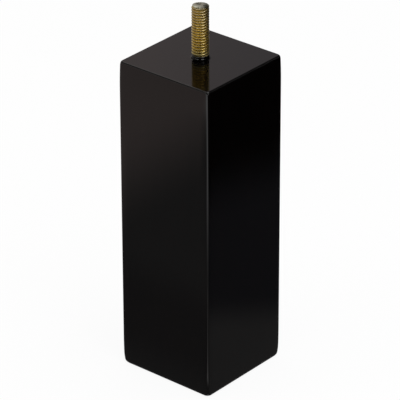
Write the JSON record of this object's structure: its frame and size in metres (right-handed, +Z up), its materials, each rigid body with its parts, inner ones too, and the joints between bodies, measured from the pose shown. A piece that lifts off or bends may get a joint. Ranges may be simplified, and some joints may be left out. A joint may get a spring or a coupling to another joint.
{
  "type": "square wooden furniture leg",
  "caption": "Square solid wood furniture leg in dark lacquer, with a threaded hanger bolt standing up from the centre of its top.",
  "frame": {"origin": "centre of the foot, on the floor", "axes": "+Z up along the leg, from the foot to the stud's tip; +X and +Y square to the block's faces"},
  "size_m": [0.05, 0.05, 0.175],
  "materials": {
    "lacquered_wood": "near-black espresso lacquer, gloss, grain filled",
    "plated_steel": "yellow zinc plate, bright"
  },
  "bodies": {
    "root": {"leg_block": "lacquered_wood", "hanger_bolt": "plated_steel"}
  },
  "joints": []
}
